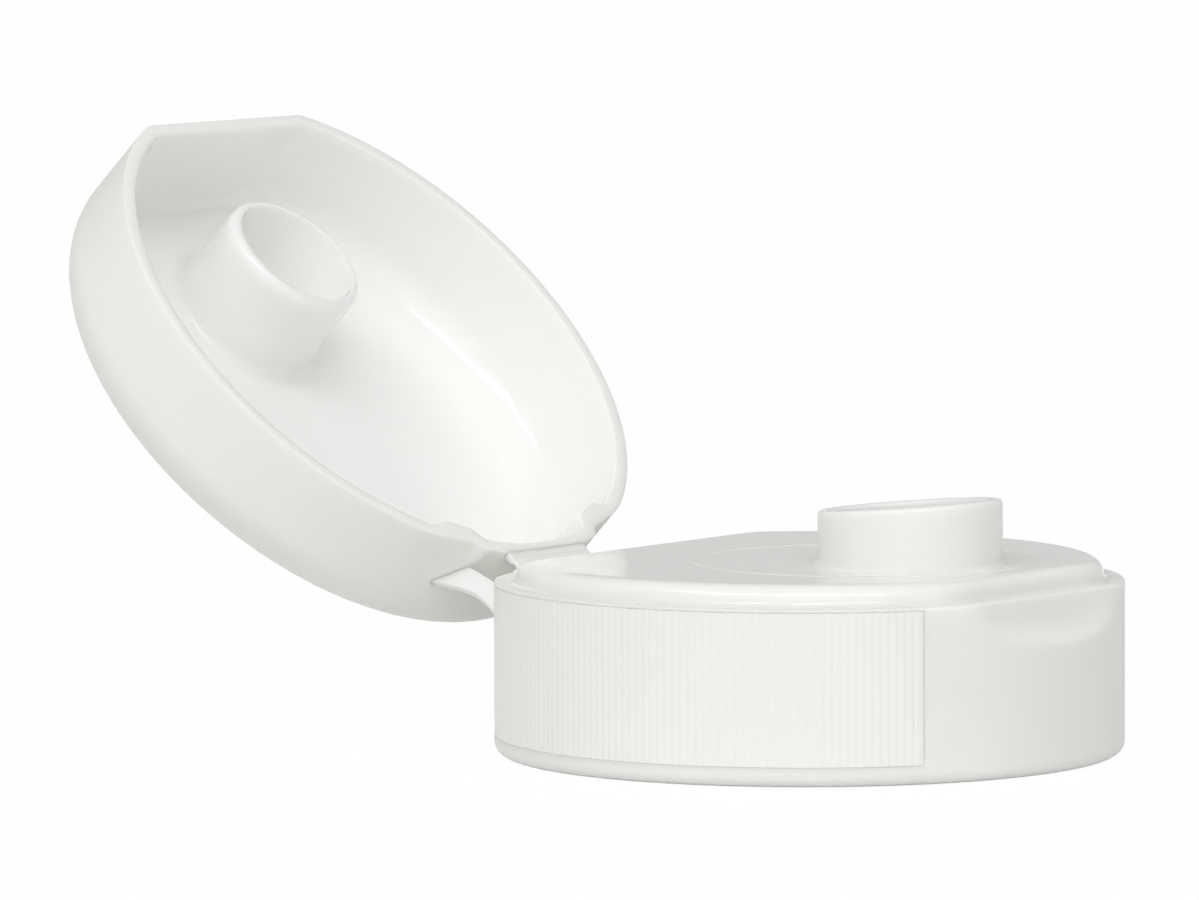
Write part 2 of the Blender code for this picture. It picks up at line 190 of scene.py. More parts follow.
def straight_wall(distance: float, towards: np.ndarray) -> np.ndarray:
    """A straight wall across one direction.

    Args:
        distance: Its distance from the axis.
        towards: Cosine between each angle and the direction that the wall faces.

    Returns:
        The radius for each angle, far out where the wall faces away.
    """
    return np.where(towards > LEAST_FACING, distance / np.maximum(towards, LEAST_FACING), FAR)


def flattened(radius: float, front: float, rear: float = FAR, corner: float = 0.3) -> np.ndarray:
    """A circle that is cut straight at the front, and at the rear where one is given.

    Args:
        radius: Radius of the circle.
        front: Distance of the straight front from the axis.
        rear: Distance of the straight rear from the axis.
        corner: How far the corners are rounded.

    Returns:
        The radius for each angle.
    """
    shape = np.full(len(THETA), float(radius))
    for distance, towards in ((front, -COS), (rear, COS)):
        shape = smooth_min(shape, straight_wall(distance, towards), corner)
    return shape


@dataclass
class LoopStack:
    """A closed surface that is built up loop by loop, each loop with its finish."""

    loops: list[np.ndarray] = field(default_factory=list)
    finishes: list[Surface] = field(default_factory=list)

    def add(self, loop: np.ndarray, finish: Surface) -> None:
        """Adds one loop. The finish is that of the band between it and the loop before."""
        self.loops.append(loop)
        self.finishes.append(finish)

    def add_plain(self, places: Sequence[Place], finish: Surface, centre_y: float = 0.0) -> None:
        """Adds a loop for each pair of radius and height.

        Args:
            places: Radius and height of each loop.
            finish: The finish of all these bands.
            centre_y: Place of the loops' centre along Y.
        """
        for radius, height in places:
            self.add(ring(radius, height, centre_y), finish)

    def blend_to(self, target: np.ndarray, shares: Sequence[float], finish: Surface) -> None:
        """Adds loops that pass from the last one to another shape, with the other shape last.

        Args:
            target: The loop that it ends on.
            shares: How far along each loop between lies, from 0 to 1.
            finish: The finish of all these bands.
        """
        start = self.loops[-1]
        for share in shares:
            self.add(start * (1 - share) + target * share, finish)
        self.add(target, finish)

    def mesh(self, name: str, finishes: Sequence[bpy.types.Material], poles: bool) -> bpy.types.Object:
        """Joins the loops into one closed mesh whose faces point outwards.

        Args:
            name: Name of the piece.
            finishes: The materials, in the order of Surface.
            poles: True where the first and last loop close on a point, False where they join each other.

        Returns:
            The new object, linked to the scene.
        """
        count = len(THETA)
        points = np.concatenate(self.loops)
        here = np.arange(count)
        after = np.roll(here, -1)
        quads = []
        slots = []
        for row in range(0 if poles else -1, len(self.loops) - 1):
            low = (row % len(self.loops)) * count
            high = (row + 1) * count
            quads.append(np.stack([low + here, low + after, high + after, high + here], 1))
            slots += [self.finishes[row + 1].value] * count
        faces = np.concatenate(quads).tolist()
        if poles:
            ends = np.array([self.loops[0].mean(0), self.loops[-1].mean(0)])
            points = np.concatenate([points, ends])
            last = (len(self.loops) - 1) * count
            first_pole = len(points) - 2
            faces += [[first_pole, b, a] for a, b in zip(here.tolist(), after.tolist())]
            faces += [[first_pole + 1, last + a, last + b] for a, b in zip(here.tolist(), after.tolist())]
            slots += [self.finishes[0].value] * count + [self.finishes[-1].value] * count
        data = bpy.data.meshes.new(name)
        data.from_pydata((points * MM).tolist(), [], faces)
        for material in finishes:
            data.materials.append(material)
        data.polygons.foreach_set("material_index", slots)
        return finished(name, data)


def finished(name: str, data: bpy.types.Mesh, sharp_deg: float = 38.0) -> bpy.types.Object:
    """Makes an object of a mesh, with its faces outwards and its round parts smooth.

    Args:
        name: Name of the piece.
        data: Its closed mesh, in metres.
        sharp_deg: Edges that turn more than this stay sharp.

    Returns:
        The new object, linked to the scene.
    """
    bm = bmesh.new()
    bm.from_mesh(data)
    if bm.calc_volume(signed=True) < 0:
        bmesh.ops.reverse_faces(bm, faces=bm.faces)
    bm.to_mesh(data)
    bm.free()
    data.shade_smooth()
    data.set_sharp_from_angle(angle=math.radians(sharp_deg))
    piece = bpy.data.objects.new(name, data)
    bpy.context.scene.collection.objects.link(piece)
    return piece


# Node trees


@dataclass
class NodeTree:
    """A node tree whose nodes are added with their inputs set or linked."""

    tree: bpy.types.NodeTree

    def feed(self, node: bpy.types.Node, inputs: dict[str | int, Term]) -> None:
        """Sets or links a node's inputs.

        Args:
            node: The node.
            inputs: What goes in, by the input's name or number: a socket is linked, a value is set.
        """
        for label, term in inputs.items():
            if isinstance(term, bpy.types.NodeSocket):
                self.tree.links.new(term, node.inputs[label])
            else:
                node.inputs[label].default_value = term

    def node(self, kind: str, inputs: dict[str | int, Term] | None = None, **settings: str) -> bpy.types.Node:
        """Adds a node.

        Args:
            kind: Type of the node.
            inputs: What goes in, as in feed.
            **settings: The node's properties.

        Returns:
            The new node.
        """
        made = self.tree.nodes.new(kind)
        for key, value in settings.items():
            setattr(made, key, value)
        self.feed(made, inputs or {})
        return made

    def math(self, operation: str, *terms: Term) -> bpy.types.NodeSocket:
        """Adds a Math node.

        Args:
            operation: Name of the operation.
            *terms: Its inputs, each a socket or a number.

        Returns:
            The node's output.
        """
        return self.node("ShaderNodeMath", dict(enumerate(terms)), operation=operation).outputs[0]


# Finishes


@dataclass(frozen=True)
class MouldedPlastic:
    """White polypropylene as one polish of the mould leaves it."""

    name: str
    color: tuple[float, float, float]
    shade: tuple[float, float, float]
    roughness: float
    roughness_spread: float
    grain_mm: float
    grain_height_mm: float
    flow_mm: float
    glow: float = 0.85
    glow_reach_mm: float = 0.8
    glow_tint: tuple[float, float, float] = (1.0, 0.98, 0.94)
    refraction: float = 1.49

    def material(self) -> bpy.types.Material:
        """Builds the node material.

        Returns:
            A material with mould grain, cloudy flow of the colour and a little depth.
        """
        made = bpy.data.materials.new(self.name)
        made.use_nodes = True
        tree = NodeTree(made.node_tree)
        place = tree.node("ShaderNodeTexCoord").outputs["Object"]
        flow = tree.node(
            "ShaderNodeTexNoise",
            {"Vector": place, "Scale": 1 / (self.flow_mm * MM), "Detail": 3, "Distortion": 0.6},
        )
        tint = tree.node(
            "ShaderNodeMix",
            {"Factor": flow.outputs["Fac"], "A": (*self.shade, 1), "B": (*self.color, 1)},
            data_type="RGBA",
        )
        grain = tree.node(
            "ShaderNodeTexNoise",
            {"Vector": place, "Scale": 1 / (self.grain_mm * MM), "Detail": 4, "Roughness": 0.6},
        ).outputs["Fac"]
        least, most = self.roughness - self.roughness_spread, self.roughness + self.roughness_spread
        polish = tree.node("ShaderNodeMapRange", {"Value": grain, "To Min": least, "To Max": most})
        height = self.grain_height_mm * MM
        bump = tree.node("ShaderNodeBump", {"Height": grain, "Distance": height, "Strength": 1.0})
        tree.feed(
            made.node_tree.nodes["Principled BSDF"],
            {
                "Base Color": tint.outputs["Result"],
                "Roughness": polish.outputs["Result"],
                "Normal": bump.outputs["Normal"],
                "IOR": self.refraction,
                "Subsurface Weight": self.glow,
                "Subsurface Radius": self.glow_tint,
                "Subsurface Scale": self.glow_reach_mm * MM,
            },
        )
        return made


SATIN_SKIN = MouldedPlastic(
    name="satin_polypropylene",
    color=(0.90, 0.897, 0.866),
    shade=(0.87, 0.866, 0.833),
    roughness=0.42,
    roughness_spread=0.07,
    grain_mm=0.16,
    grain_height_mm=0.004,
    flow_mm=7.0,
)
POLISHED_SKIN = MouldedPlastic(
    name="polished_polypropylene",
    color=(0.90, 0.896, 0.864),
    shade=(0.875, 0.87, 0.834),
    roughness=0.08,
    roughness_spread=0.03,
    grain_mm=0.5,
    grain_height_mm=0.0006,
    flow_mm=9.0,
)
# Painted light: paler and warmer than the satin and polished skins, so that the lid's hollow, the plug and
# the spout's bore look lit through the walls and by bounced light
PAINTED_LIGHT_SKIN = MouldedPlastic(
    name="painted_light_polypropylene",
    color=(0.965, 0.96, 0.922),
    shade=(0.95, 0.944, 0.904),
    roughness=0.13,
    roughness_spread=0.04,
    grain_mm=0.5,
    grain_height_mm=0.001,
    flow_mm=9.0,
    glow=0.9,
    glow_reach_mm=1.5,
)
FLEXED_SKIN = MouldedPlastic(
    name="flexed_polypropylene",
    color=(0.885, 0.886, 0.882),
    shade=(0.86, 0.86, 0.85),
    roughness=0.34,
    roughness_spread=0.08,
    grain_mm=0.22,
    grain_height_mm=0.003,
    flow_mm=1.6,
)
RIB_SKIN = replace(SATIN_SKIN, name="ribbed_polypropylene", grain_height_mm=0.002, glow=0.0)


# Mouldings


@dataclass(frozen=True)
class Hinge:
    """The line that the lid turns about, and how far it stands open."""

    y: float = 20.8
    z: float = 11.56
    open_deg: float = 134.3

    def opened(self, points: np.ndarray) -> np.ndarray:
        """Turns points of the closed lid to where they lie with the lid open.

        Args:
            points: Rows of x, y and z in the closed lid.

        Returns:
            The same rows, turned about the hinge.
        """
        turn = np.array(Matrix.Rotation(math.radians(-self.open_deg), 3, "X"))
        centre = np.array(Vector((0, self.y, self.z)))
        return (points - centre) @ turn.T + centre


HINGE = Hinge()


@dataclass
class PanelPocket:
    """The sloping pocket beside the hinge that a side web folds into, and its crease."""

    inner_deg: float = 17.4
    outer_deg: float = 22.8
    fade_deg: float = 33.0
    inner_ramp_deg: tuple[float, float] = (-0.9, 2.4)
    outer_ramp_deg: float = 3.4
    inner_reach: float = 1.94
    outer_reach: float = 4.0
    reach_limit: float = 1.4
    depth: float = 0.5

    def crease_reach(self) -> np.ndarray:
        """How far the crease lies from the hinge line along the wall, for each angle round the cap."""
        share = (ASIDE - self.inner_deg) / (self.outer_deg - self.inner_deg)
        return self.inner_reach + np.clip(share, 0, self.reach_limit) * (self.outer_reach - self.inner_reach)

    def cut(self, reach: float) -> np.ndarray:
        """Depth of the pocket at a distance from the hinge line.

        Args:
            reach: Distance along the wall from the height of the hinge line.

        Returns:
            The depth for each angle round the cap.
        """
        along = np.clip(1 - max(reach, 0.0) / self.crease_reach(), 0, 1)
        start, end = (self.inner_deg + shift for shift in self.inner_ramp_deg)
        within = smooth_step(ASIDE, start, end)
        within = within * smooth_step(ASIDE, self.fade_deg, self.outer_deg - self.outer_ramp_deg)
        return self.depth * within * along


@dataclass
class Closure:
    """The skirt, the deck and the spout, one moulding that a bottle neck screws into."""

    radius: float = 20.5
    height: float = 11.35
    foot_round: float = 0.9
    foot_inner: float = 19.2
    foot_levels: tuple[float, ...] = (1.08, 1.22)
    wall_levels: tuple[float, ...] = (2.4, 3.8, 5.2, 6.4, 7.2)
    pocket_levels: tuple[float, float, float] = (7.6, 10.95, 0.16)
    ledge_round: float = 0.2
    band_depth: float = 0.12
    band_low: float = 1.3
    band_high: float = 11.14
    band_ramp: float = 0.12
    band_end_deg: float = 146.3
    band_end_ramp_deg: float = 0.15
    scoop_radius: float = 3.45
    scoop_y: float = 22.25
    scoop_z: float = 11.5
    scoop_lip: float = 0.18
    scoop_corner: float = 0.4
    deck_radius: float = 19.15
    deck_front: float = 17.4
    deck_rear: float = 14.3
    deck_corner: float = 0.9
    deck_z: float = 12.78
    deck_round: float = 1.27
    foot_fillet: float = 0.42
    ring_radius: float = 11.1
    ring_y: float = -4.4
    ring_half: float = 0.11
    ring_height: float = 0.05
    ring_fullness: float = 0.8
    spout_y: float = -8.0
    spout_radius: float = 5.97
    spout_fillet: float = 0.4
    spout_top: float = 16.6
    spout_slope: float = math.tan(math.radians(4.3))
    lip_round: float = 0.3
    bore_radius: float = 5.25
    bore_flare: float = 0.2
    bore_flare_middle: float = 0.06
    ceiling_z: float = 11.3
    core_radius: float = 13.6
    core_corner: tuple[float, float] = (0.15, 0.12)
    seat_z: float = 10.0
    seat_inner: float = 13.9
    seat_edge: tuple[float, float] = (0.08, 0.12)
    bead_radius: float = 16.6
    bead_half: float = 0.4
    bead_height: float = 0.5
    bead_fullness: float = 1.5
    seat_corner: float = 0.8
    root_radius: float = 18.9
    root_levels: tuple[float, ...] = (6.5, 3.5, 0.6)
    mouth_edge: Place = (19.05, 0.3)
    pocket: PanelPocket = field(default_factory=PanelPocket)

    def scoop(self, height: float) -> np.ndarray:
        """The thumb scoop, a level cylinder that cuts into the front of the skirt's upper edge.

        Args:
            height: Height above the floor.

        Returns:
            Its radius for each angle, far out where it doesn't reach.
        """
        reach = self.scoop_radius**2 - (height - self.scoop_z) ** 2
        if reach <= 0:
            return np.full(len(THETA), FAR)
        distance = self.scoop_y - math.sqrt(reach)
        over_lip = max(0.0, height - (self.height - self.scoop_lip))
        distance -= self.scoop_lip - math.sqrt(max(0.0, self.scoop_lip**2 - over_lip**2))
        return straight_wall(distance, -COS)

    def wall(self, radius: float, height: float) -> np.ndarray:
        """The skirt's outer wall with its rib band, its two pockets and the thumb scoop.

        Args:
            radius: Radius of the plain round wall at this height.
            height: Height above the floor.

        Returns:
            The radius for each angle.
        """
        level = np.array(height)
        ramp = self.band_end_ramp_deg
        band = smooth_step(level, self.band_low, self.band_low + self.band_ramp)
        band = band * smooth_step(level, self.band_high, self.band_high - self.band_ramp)
        band = band * smooth_step(ASIDE, self.band_end_deg + ramp, self.band_end_deg - ramp)
        shape = radius - self.band_depth * band - self.pocket.cut(HINGE.z - height)
        return smooth_min(shape, self.scoop(height), self.scoop_corner)

    def build(self, finishes: Sequence[bpy.types.Material]) -> bpy.types.Object:
        """Builds the moulding from the foot over the deck and the spout's lip down to the inside.

        Args:
            finishes: The materials, in the order of Surface.

        Returns:
            The finished piece.
        """
        stack = LoopStack()
        self.skirt_outside(stack)
        self.deck(stack)
        self.spout(stack)
        self.inside(stack)
        return stack.mesh("closure_moulding", finishes, poles=False)

    def skirt_outside(self, stack: LoopStack) -> None:
        """Adds the foot, the outer wall and the ledge's rounded edge.

        Args:
            stack: The loops so far.
        """
        stack.add(ring(self.foot_inner, 0), Surface.SATIN)
        foot = quarter_round((self.radius - self.foot_round, 0), (self.radius, self.foot_round), steps=7)
        stack.add_plain(foot, Surface.SATIN)
        band_starts = np.linspace(self.band_low, self.band_low + self.band_ramp, 3)
        band_ends = np.linspace(self.band_high - self.band_ramp, self.band_high, 3)
        levels = [*self.foot_levels, *band_starts, *self.wall_levels, *np.arange(*self.pocket_levels)]
        places = [(self.radius, level) for level in (*levels, *band_ends)]
        edge_start = (self.radius, self.height - self.ledge_round)
        edge_end = (self.radius - self.ledge_round, self.height)
        places += quarter_round(edge_start, edge_end, steps=8, upright=True)
        for radius, level in places:
            stack.add(ring(self.wall(radius, level), level), Surface.SATIN)

    def deck_outline(self, inset: float) -> np.ndarray:
        """The deck's outline, moved inwards.

        Args:
            inset: How far it is moved. Below 0 it is moved outwards.

        Returns:
            The radius for each angle.
        """
        front, rear = self.deck_front - inset, self.deck_rear - inset
        return flattened(self.deck_radius - inset, front, rear, self.deck_corner)

    def deck(self, stack: LoopStack) -> None:
        """Adds the ledge, the deck's rounded edge and its top with the fine ring.

        Args:
            stack: The loops so far.
        """
        foot_top = self.height + self.foot_fillet
        stack.blend_to(ring(self.deck_outline(-self.foot_fillet), self.height), (0.35, 0.7), Surface.SATIN)
        profile = quarter_round((-self.foot_fillet, self.height), (0, foot_top), steps=3)[1:]
        profile += quarter_round((0, foot_top), (self.deck_round, self.deck_z), steps=14, upright=True)
        for inset, level in profile:
            stack.add(ring(self.deck_outline(inset), level), Surface.POLISHED)
        edge = ring(self.ring_radius + self.ring_half, self.deck_z, self.ring_y)
        stack.blend_to(edge, (0.3, 0.6, 0.85), Surface.POLISHED)
        for share in np.linspace(1, -1, 7)[1:]:
            radius = self.ring_radius + self.ring_half * share
            lift = self.ring_height * (1 - share * share) ** self.ring_fullness
            stack.add(ring(radius, self.deck_z + lift, self.ring_y), Surface.POLISHED)

    def spout(self, stack: LoopStack) -> None:
        """Adds the spout with its filleted foot, slanted round lip and bore.

        Args:
            stack: The loops so far.
        """
        outer, bore, lip = self.spout_radius, self.bore_radius, self.lip_round
        shoulder = self.spout_top - lip - outer * COS * self.spout_slope
        base = self.deck_z + self.spout_fillet
        foot = (outer + self.spout_fillet, self.deck_z)
        stack.blend_to(ring(*foot, self.spout_y), (0.35, 0.7, 0.9), Surface.POLISHED)
        outside = quarter_round(foot, (outer, base), steps=6)[1:]
        outside += [(outer, base + (shoulder - base) * share) for share in (0.15, 0.4, 0.65, 0.88)]
        outside += quarter_round((outer, shoulder), (outer - lip, shoulder + lip), steps=6, upright=True)
        stack.add_plain(outside, Surface.SATIN, self.spout_y)
        bore_end = self.ceiling_z + self.bore_flare
        inside = quarter_round((bore + lip, shoulder + lip), (bore, shoulder), steps=6)
        inside += [(bore, shoulder + (bore_end - shoulder) * share) for share in (0.2, 0.5, 0.8, 1.0)]
        inside.append((bore + self.bore_flare_middle, self.ceiling_z + self.bore_flare_middle))
        # The bore is painted lighter with the painted-light copy of the plastic
        stack.add_plain(inside, Surface.PAINTED_LIGHT, self.spout_y)
        stack.add(ring(bore + self.bore_flare, self.ceiling_z, self.spout_y), Surface.SATIN)

    def inside(self, stack: LoopStack) -> None:
        """Adds the room for the bottle neck: cored deck, seat with its bead, and the thread's root.

        Args:
            stack: The loops so far.
        """
        core = ring(self.core_radius - self.core_corner[0], self.ceiling_z)
        stack.blend_to(core, (0.3, 0.6, 0.85), Surface.POLISHED)
        aside, above = self.seat_edge
        profile = [(self.core_radius, self.ceiling_z - self.core_corner[1])]
        profile += [(self.seat_inner - aside, self.seat_z + above), (self.seat_inner + aside, self.seat_z)]
        for share in (-1.0, -0.6, -0.25, 0.0, 0.25, 0.6, 1.0):
            drop = self.bead_height * (1 - share * share) ** self.bead_fullness
            profile.append((self.bead_radius + self.bead_half * share, self.seat_z - drop))
        corner_start = (self.root_radius - self.seat_corner, self.seat_z)
        profile += quarter_round(corner_start, (self.root_radius, self.seat_z - self.seat_corner), steps=5)
        profile += [(self.root_radius, level) for level in self.root_levels]
        stack.add_plain([*profile, self.mouth_edge], Surface.SATIN)


@dataclass
class Lid:
    """The domed lid with its flat front and the plug that closes the spout, in its closed place."""

    radius: float = 20.36
    rim_z: float = 11.5
    top_z: float = 20.92
    top_round: float = 4.0
    top_radii: tuple[float, ...] = (3.0, 7.0, 11.0, 14.0)
    front: float = 18.6
    front_corner: float = 0.22
    upper_levels: tuple[float, ...] = (16.4, 15.9)
    lower_levels: tuple[float, float] = (15.6, -0.18)
    wall: float = 0.95
    inner_levels: tuple[float, float, float] = (11.8, 16.8, 0.2)
    inner_front: float = 17.75
    inner_front_fillet: float = 1.1
    inner_front_corner: float = 0.3
    ceiling_z: float = 19.82
    inner_round: float = 3.0
    rim_round: float = 0.04
    rim_inner_round: float = 0.06
    bump_depth: float = 0.88
    bump_start_deg: float = 15.4
    bump_full_deg: float = 19.6
    bump_fade_deg: float = 25.0
    bump_end_deg: float = 29.5
    bump_low: float = 13.6
    bump_high: float = 15.4
    bump_fall_per_deg: float = 0.12
    bump_fullness: float = 2.5
    plug_y: float = -8.06
    plug_radius: float = 5.13
    plug_root_radius: float = 5.4
    plug_fillet: float = 0.9
    plug_straight_z: float = 16.9
    plug_tip_z: float = 13.15
    plug_slope: float = math.tan(math.radians(2.2))
    plug_outer_round: float = 0.62
    plug_lead_in: float = 0.9
    mouth_radii: tuple[float, ...] = (4.47, 4.44, 4.42, 4.4, 4.37, 4.31, 4.22, 4.1, 3.95, 3.8)
    mouth_rises: tuple[float, ...] = (0.01, 0.04, 0.1, 0.3, 0.8, 1.6, 2.5, 3.4, 4.2, 4.9)
    plug_floor_radius: float = 3.6
    plug_floor_round: float = 0.8
    plug_floor_middle: float = 1.2
    plug_floor_wall: float = 0.4
    pocket: PanelPocket = field(default_factory=PanelPocket)

    def outside(self, radius: float, height: float) -> np.ndarray:
        """The outer wall with its flat front and the two pockets beside the hinge."""
        shape = flattened(radius, self.front, corner=self.front_corner)
        return shape - self.pocket.cut(height - HINGE.z)

    def hollow(self, radius: float, height: float) -> np.ndarray:
        """The inner wall, with its flat front and the humps that back the two pockets.

        Args:
            radius: Radius of the plain round wall at this height.
            height: Height in the closed lid.

        Returns:
            The radius for each angle.
        """
        into_fillet = max(0.0, height - (self.ceiling_z - self.inner_front_fillet))
        fillet = self.inner_front_fillet - math.sqrt(max(0.0, self.inner_front_fillet**2 - into_fillet**2))
        shape = flattened(radius, self.inner_front - fillet, corner=self.inner_front_corner)
        around = smooth_step(ASIDE, self.bump_start_deg, self.bump_full_deg)
        around = around * smooth_step(ASIDE, self.bump_end_deg, self.bump_fade_deg)
        top = self.bump_high - (ASIDE - self.bump_full_deg) * self.bump_fall_per_deg
        rise = self.bump_high - self.bump_low
        share = np.clip((height - top + rise) / rise, 0, 1)
        return shape - self.bump_depth * around * (1 - share**self.bump_fullness)

    def build(self, finishes: Sequence[bpy.types.Material]) -> bpy.types.Object:
        """Builds the lid from the middle of its top over the rim and the ceiling to the inside of the plug.

        Args:
            finishes: The materials, in the order of Surface.

        Returns:
            The finished piece, with the lid open.
        """
        stack = LoopStack()
        self.dome(stack)
        self.rim_and_hollow(stack)
        self.plug(stack)
        stack.loops = [HINGE.opened(loop) for loop in stack.loops]
        return stack.mesh("lid_moulding", finishes, poles=True)

    def dome(self, stack: LoopStack) -> None:
        """Adds the top, its large round, the outer wall and the rim's outer edge.

        Args:
            stack: The loops so far.
        """
        stack.add_plain([(radius, self.top_z) for radius in self.top_radii], Surface.SATIN)
        round_start = (self.radius - self.top_round, self.top_z)
        round_end = (self.radius, self.top_z - self.top_round)
        for radius, height in quarter_round(round_start, round_end, steps=18):
            shape = flattened(radius, self.front, corner=self.front_corner)
            stack.add(ring(shape, height), Surface.SATIN)
        first, step = self.lower_levels
        rim_top = self.rim_z + self.rim_round
        levels = [*self.upper_levels, *np.arange(first, rim_top, step)]
        places = [(self.radius, height) for height in levels]
        rim_end = (self.radius - self.rim_round, self.rim_z)
        places += quarter_round((self.radius, rim_top), rim_end, steps=4, upright=True)
        for radius, height in places:
            stack.add(ring(self.outside(radius, height), height), Surface.SATIN)

    def rim_and_hollow(self, stack: LoopStack) -> None:
        """Adds the rim's face, the inner wall and the ceiling up to the plug.

        Args:
            stack: The loops so far.
        """
        inner = self.radius - self.wall
        edge = (inner + self.rim_inner_round, self.rim_z)
        stack.blend_to(ring(self.hollow(*edge), self.rim_z), (0.5,), Surface.SATIN)
        places = quarter_round(edge, (inner, self.rim_z + self.rim_inner_round), steps=3)[1:]
        places += [(inner, height) for height in np.arange(*self.inner_levels)]
        round_start = (inner, self.ceiling_z - self.inner_round)
        round_end = (inner - self.inner_round, self.ceiling_z)
        places += quarter_round(round_start, round_end, steps=16, upright=True)
        for radius, height in places:
            # The inner wall and the ceiling are painted lighter with the painted-light copy of the plastic
            stack.add(ring(self.hollow(radius, height), height), Surface.PAINTED_LIGHT)

    def plug(self, stack: LoopStack) -> None:
        """Adds the plug's outside, its round slanted tip and its inside.

        Args:
            stack: The loops so far.
        """
        outer, root, straight_z = self.plug_radius, self.plug_root_radius, self.plug_straight_z
        tip = self.plug_tip_z - outer * COS * self.plug_slope
        shoulder = tip + self.plug_lead_in
        root_z = self.ceiling_z - self.plug_fillet
        foot = (root + self.plug_fillet, self.ceiling_z)
        # The plug, inside and out, is painted lighter with the painted-light copy of the plastic
        stack.blend_to(ring(*foot, self.plug_y), (0.3, 0.6, 0.85), Surface.PAINTED_LIGHT)
        places = quarter_round(foot, (root, root_z), steps=5)[1:]
        for share in (0.35, 0.75, 1.0):
            places.append((root + (outer - root) * share, root_z + (straight_z - root_z) * share))
        places += [(outer, straight_z + (shoulder - straight_z) * share) for share in (0.3, 0.6, 0.85)]
        tip_end = (outer - self.plug_outer_round, tip)
        places += quarter_round((outer, shoulder), tip_end, steps=8, upright=True)
        places += [(radius, tip + rise) for radius, rise in zip(self.mouth_radii, self.mouth_rises)]
        floor = self.ceiling_z - self.plug_floor_wall
        corner = self.plug_floor_round
        corner_start = (self.plug_floor_radius, floor - corner)
        corner_end = (self.plug_floor_radius - corner, floor)
        places += quarter_round(corner_start, corner_end, steps=5, upright=True)
        stack.add_plain([*places, (self.plug_floor_middle, floor)], Surface.PAINTED_LIGHT, self.plug_y)


# Snap hinge

SHEET_EDGE = 0.07
SHEET_SHARP_DEG = 50.0


def sheet_solid(
    name: str, middle: np.ndarray, thickness: Callable[[float], float], material: bpy.types.Material
) -> bpy.types.Object:
    """A thin closed solid on both sides of a curved middle surface, with rounded edges.

    Args:
        name: Name of the piece.
        middle: Points of the middle surface, rows by columns by x, y and z.
        thickness: Gives the thickness at a share of the rows.
        material: Its finish.

    Returns:
        The finished piece.
    """
    rows, columns = middle.shape[:2]
    normal = np.cross(np.gradient(middle, axis=0), np.gradient(middle, axis=1))
    normal /= np.linalg.norm(normal, axis=2, keepdims=True)
    half = np.array([thickness(row / (rows - 1)) / 2 for row in range(rows)])
    offset = normal * half[:, None, None]
    points = np.concatenate([(middle + offset).reshape(-1, 3), (middle - offset).reshape(-1, 3)])
    count = rows * columns
    index = np.arange(count).reshape(rows, columns)
    faces = []
    for r in range(rows - 1):
        for c in range(columns - 1):
            a, b, d, e = index[r, c], index[r, c + 1], index[r + 1, c + 1], index[r + 1, c]
            faces.append([a, b, d, e])
            faces.append([count + e, count + d, count + b, count + a])
    border = [*index[0, :], *index[1:, -1], *index[-1, -2::-1], *index[-2:0:-1, 0]]
    for a, b in zip(border, border[1:] + border[:1]):
        faces.append([b, a, count + a, count + b])
    data = bpy.data.meshes.new(name)
    data.from_pydata((points * MM).tolist(), [], [[int(i) for i in face] for face in faces])
    data.materials.append(material)
    piece = finished(name, data, SHEET_SHARP_DEG)
    bevel = piece.modifiers.new("rounded edges", "BEVEL")
    bevel.width = SHEET_EDGE * MM
    bevel.segments = 2
    bevel.limit_method = "ANGLE"
    bevel.angle_limit = math.radians(SHEET_SHARP_DEG)
    return made_plain(piece)


def made_plain(piece: bpy.types.Object) -> bpy.types.Object:
    """Turns a piece's modifiers into a plain mesh.

    Args:
        piece: The object, with its modifiers live.

    Returns:
        The same object with its evaluated mesh and no modifier.
    """
    graph = bpy.context.evaluated_depsgraph_get()
    data = bpy.data.meshes.new_from_object(piece.evaluated_get(graph), depsgraph=graph)
    piece.modifiers.clear()
    piece.data = data
    return piece


